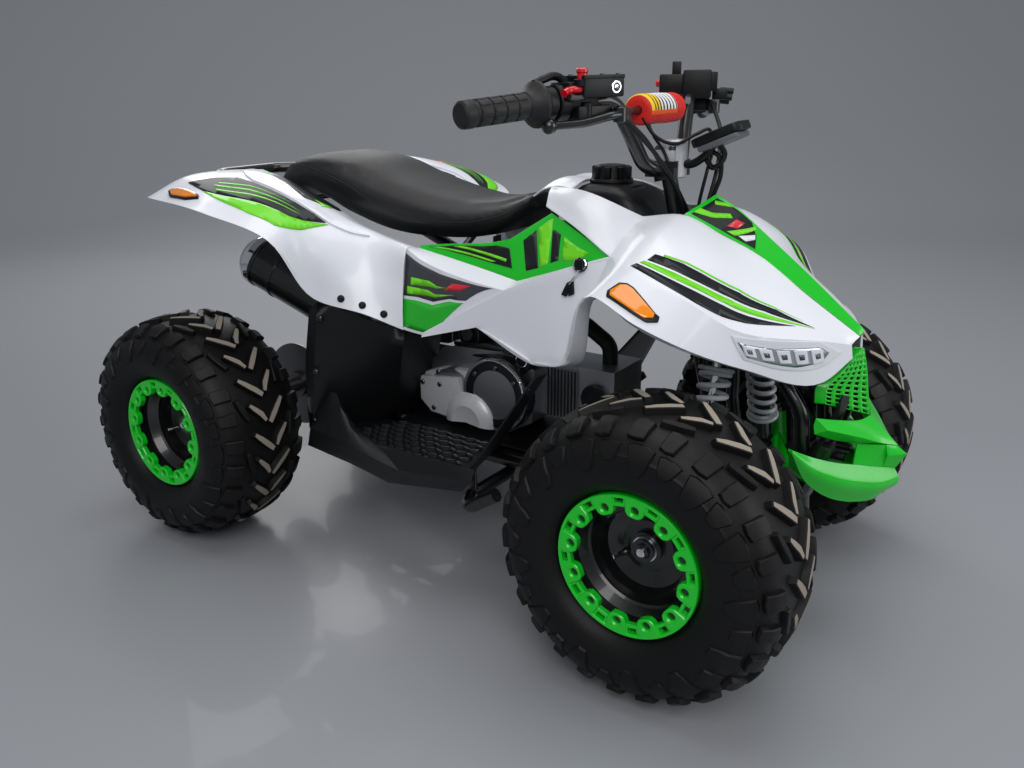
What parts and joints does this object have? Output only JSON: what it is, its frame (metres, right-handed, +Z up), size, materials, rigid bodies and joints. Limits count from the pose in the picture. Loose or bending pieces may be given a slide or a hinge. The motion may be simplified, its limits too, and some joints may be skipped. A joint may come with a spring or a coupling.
{
  "type": "children's quad bike",
  "caption": "Small petrol quad bike with balloon tyres, moulded fenders, long saddle, footwells and handlebar steering, on free-turning wheels.",
  "frame": {"origin": "on the ground under the middle of the overall length, in the plane of symmetry", "axes": "+X forward, +Y to the rider's left, +Z up"},
  "size_m": [1.336, 0.8576, 0.7924],
  "materials": {
    "tyre": "moulded black rubber",
    "rim": "gloss black paint",
    "ring_green": "bright green powder coat",
    "white_plastic": "gloss white moulding",
    "green_plastic": "gloss green moulding",
    "black_plastic": "textured black moulding",
    "black_steel": "black powder coat",
    "green_steel": "green powder coat",
    "engine_metal": "cast and blasted",
    "chrome": "polished",
    "seat_vinyl": "grained black vinyl",
    "grip_rubber": "ribbed",
    "pad_red": "red cover with bands",
    "spring": "light grey paint",
    "lamp_clear": "clear lens",
    "lamp_amber": "amber lens",
    "lamp_red": "red lens",
    "steel": "bare steel"
  },
  "bodies": {
    "chassis": {"a_arm_left": "green_steel", "a_arm_right": "green_steel", "front_shocks": "spring", "frame": "black_steel", "swingarm": "black_steel", "rear_shock": "spring", "engine": "engine_metal", "carburettor": "black_plastic", "exhaust": "black_steel", "chain": "steel", "drive_sprocket": "steel", "seat": "seat_vinyl", "grab_bar": "black_steel", "front_fairing": "white_plastic", "nose_panel": "green_plastic", "rear_fairing": "white_plastic", "side_panels": "green_plastic", "tank_cover": "black_plastic", "fuel_cap": "black_plastic", "headlamps": "lamp_clear", "front_indicators": "lamp_amber", "rear_indicators": "lamp_amber", "grille": "green_plastic", "bumper": "green_plastic", "footwell_right": "black_plastic", "footwell_left": "black_plastic", "foot_bar": "black_steel", "tail_lamp": "lamp_red"},
    "steering": {"steering_stem": "black_steel", "handlebar": "black_steel", "grips": "grip_rubber", "throttle_housing": "black_plastic", "switch_housing": "black_plastic", "brake_levers": "black_steel", "bar_pad": "pad_red", "display": "black_plastic"},
    "tie_rod_left": {"tie_rod_left": "steel"},
    "tie_rod_right": {"tie_rod_right": "steel"},
    "knuckle_left": {"knuckle_left": "black_steel"},
    "knuckle_right": {"knuckle_right": "black_steel"},
    "wheel_front_left": {"tyre_front_left": "tyre", "rim_front_left": "rim", "bead_ring_front_left": "ring_green"},
    "wheel_front_right": {"tyre_front_right": "tyre", "rim_front_right": "rim", "bead_ring_front_right": "ring_green"},
    "rear_axle": {"rear_axle": "steel", "tyre_rear_left": "tyre", "rim_rear_left": "rim", "bead_ring_rear_left": "ring_green", "tyre_rear_right": "tyre", "rim_rear_right": "rim", "bead_ring_rear_right": "ring_green"}
  },
  "joints": [
    {"name": "steering", "type": "hinge", "parent": "chassis", "child": "steering", "pos_m": [0.41, 0, 0.2], "axis": [-0.2376, 0, 0.9714], "range_deg": [-25, 25]},
    {"name": "kingpin_left", "type": "hinge", "parent": "chassis", "child": "knuckle_left", "pos_m": [0.425, 0.225, 0.203], "axis": [-0.1045, 0, 0.9945], "range_deg": [-25, 25]},
    {"name": "tie_rod_pivot_left", "type": "hinge", "parent": "steering", "child": "tie_rod_left", "pos_m": [0.36337, 0.013, 0.1886], "axis": [-0.2376, 0, 0.9714], "range_deg": [-25, 25]},
    {"name": "front_wheel_left", "type": "hinge", "parent": "knuckle_left", "child": "wheel_front_left", "pos_m": [0.425, 0.288, 0.203], "axis": [0, 1, 0], "continuous": true},
    {"name": "kingpin_right", "type": "hinge", "parent": "chassis", "child": "knuckle_right", "pos_m": [0.425, -0.225, 0.203], "axis": [-0.1045, 0, 0.9945], "range_deg": [-25, 25]},
    {"name": "tie_rod_pivot_right", "type": "hinge", "parent": "steering", "child": "tie_rod_right", "pos_m": [0.36337, -0.013, 0.1886], "axis": [-0.2376, 0, 0.9714], "range_deg": [-25, 25]},
    {"name": "front_wheel_right", "type": "hinge", "parent": "knuckle_right", "child": "wheel_front_right", "pos_m": [0.425, -0.288, 0.203], "axis": [0, 1, 0], "continuous": true},
    {"name": "rear_axle_spin", "type": "hinge", "parent": "chassis", "child": "rear_axle", "pos_m": [-0.465, 0, 0.203], "axis": [0, 1, 0], "continuous": true}
  ],
  "couplings": [
    {"joint": "kingpin_left", "follows": "steering", "ratio": 1},
    {"joint": "tie_rod_pivot_left", "follows": "steering", "ratio": -1},
    {"joint": "kingpin_right", "follows": "steering", "ratio": 1},
    {"joint": "tie_rod_pivot_right", "follows": "steering", "ratio": -1}
  ]
}
